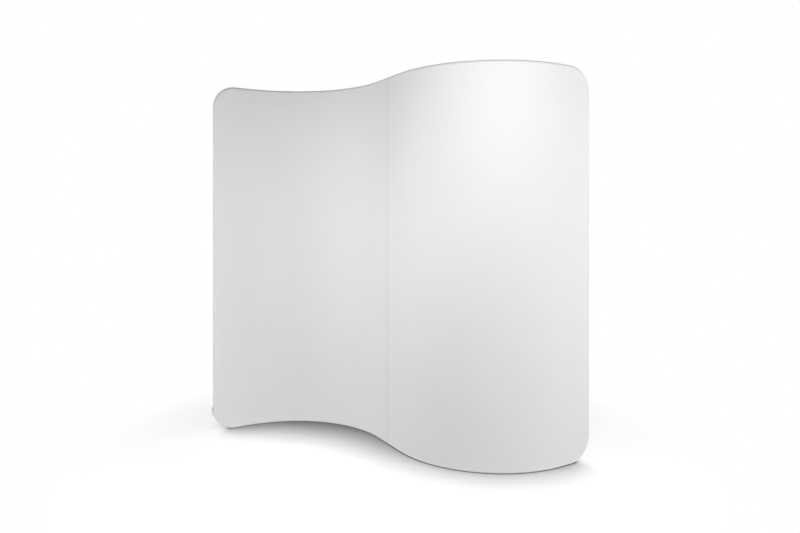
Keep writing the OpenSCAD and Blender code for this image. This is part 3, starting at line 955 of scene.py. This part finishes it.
# %% Floor
bpy.ops.mesh.primitive_plane_add(size=60, location=(0, 0, -0.0002))
floor = bpy.context.object
floor.name = "studio_floor"
floor_material = bpy.data.materials.new("studio_floor")
floor_material.use_nodes = True
tree = floor_material.node_tree
tree.nodes.clear()
do = sums(tree)
seen = seen_rays(tree, do)
open_sky = add(tree, "ShaderNodeAmbientOcclusion", {"Distance": HOLLOW_REACH}, samples=16)
hollow = add(tree, "ShaderNodeMapRange", {
    "Value": open_sky.outputs["AO"], "From Min": HOLLOW_DARK, "From Max": HOLLOW_PLAIN,
    "To Min": HOLLOW_SHADE, "To Max": 1.0,
}).outputs["Result"]
looked_at = do("MULTIPLY", hollow, seen)
unseen = do("SUBTRACT", 1.0, seen)
shade = do("MULTIPLY_ADD", looked_at, FLOOR_SHADE, do("MULTIPLY", unseen, FLOOR_BOUNCE))
bright = do("MULTIPLY_ADD", looked_at, FLOOR_GLOW, do("MULTIPLY", unseen, FLOOR_LIFT))
matt = add(tree, "ShaderNodeBsdfDiffuse", {"Color": shade})
glow = add(tree, "ShaderNodeEmission", {"Color": WHITE, "Strength": bright})
both = add(tree, "ShaderNodeAddShader")
tree.links.new(matt.outputs[0], both.inputs[0])
tree.links.new(glow.outputs[0], both.inputs[1])
white = add(tree, "ShaderNodeEmission", {"Color": WHITE, "Strength": 1.0})
away = add(tree, "ShaderNodeVectorMath", {0: place_of(tree)}, operation="LENGTH").outputs["Value"]
reach = {"Value": away, "From Min": WHITE_FROM, "From Max": WHITE_AT}
far_off = add(tree, "ShaderNodeMapRange", reach).outputs["Result"]
blend_out = add(tree, "ShaderNodeMixShader", {"Fac": do("MULTIPLY", far_off, seen)})
tree.links.new(both.outputs[0], blend_out.inputs[1])
tree.links.new(white.outputs[0], blend_out.inputs[2])
output = add(tree, "ShaderNodeOutputMaterial")
tree.links.new(blend_out.outputs[0], output.inputs["Surface"])
floor.data.materials.append(floor_material)
floor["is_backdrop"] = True
print(floor.name, "has", len(tree.nodes), "nodes in its material")

# %% World
world = bpy.data.worlds.new("white_studio")
bpy.context.scene.world = world
world.use_nodes = True
tree = world.node_tree
do = sums(tree)
seen = seen_rays(tree, do)
background = tree.nodes["Background"]
background.inputs["Color"].default_value = WHITE
fill(tree, background.inputs["Strength"], do("MULTIPLY_ADD", seen, 1.0 - WORLD_LIGHT, WORLD_LIGHT))
print("the world is white to the camera and gives", WORLD_LIGHT, "of that as light")


# %% Lamps
def soft_lamp(name, place, aim, size, power, spread=180):
    """A square softbox aimed at a point, its power in watts. A small spread narrows its light."""
    lamp = bpy.data.lights.new(name, "AREA")
    lamp.shape = "SQUARE"
    lamp.size = size
    lamp.energy = power
    lamp.spread = math.radians(spread)
    lamp_object = bpy.data.objects.new(name, lamp)
    lamp_object.location = place
    lamp_object.rotation_euler = (Vector(aim) - Vector(place)).to_track_quat("-Z", "Y").to_euler()
    bpy.context.scene.collection.objects.link(lamp_object)


soft_lamp("top_right_lamp", (0.85, -1.5, 2.35), (0.45, -0.25, 2.0), 0.5, 6.2)
soft_lamp("left_lamp", (-2.4, -2.0, 1.0), (-0.6, 0.2, 1.0), 1.0, 7.5)
soft_lamp("low_left_lamp", (-1.2, -2.6, 0.7), (-0.6, 0.1, 1.0), 1.4, 11)
soft_lamp("high_left_lamp", (-2.2, -3.0, 3.2), (0.6, 0.0, 0.3), 0.7, 12)
soft_lamp("far_right_lamp", (3.6, -1.2, 1.6), (0.6, 0.0, 1.3), 1.6, 43)
soft_lamp("middle_lamp", (-0.9, -2.9, 1.6), (0.05, 0.0, 1.45), 0.7, 1.5, 50)
soft_lamp("back_lamp", (-0.5, 3.3, 1.7), (0.0, 0.0, 1.25), 1.6, 9, 75)

# %% Camera
CAMERA_YAW = 11.9

lens = bpy.data.cameras.new("camera")
lens.sensor_width = 36
lens.lens = 28.2
lens.shift_y = -0.0635
camera = bpy.data.objects.new("camera", lens)
camera.location = (0.876, -3.832, 1.432)
camera.rotation_euler = (math.pi / 2, 0, math.radians(CAMERA_YAW))
bpy.context.scene.collection.objects.link(camera)
bpy.context.scene.camera = camera
bpy.context.scene.view_settings.view_transform = "Standard"
print("camera is", tuple(round(v, 2) for v in camera.location))

# %% [markdown]
# ## Boxes and finish
#
# The sizes of both boxes, the bare frame's and the dressed wall's, are printed. The
# dressed wall may stand no prouder of the bare frame's box than cloth does.

# %% Boxes and finish
visual_box = [list(corner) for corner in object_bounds()]
for label, low, high in (("frame", *cad_box), ("dressed", *visual_box)):
    print(label, [round(b - a, 4) for a, b in zip(low, high)])
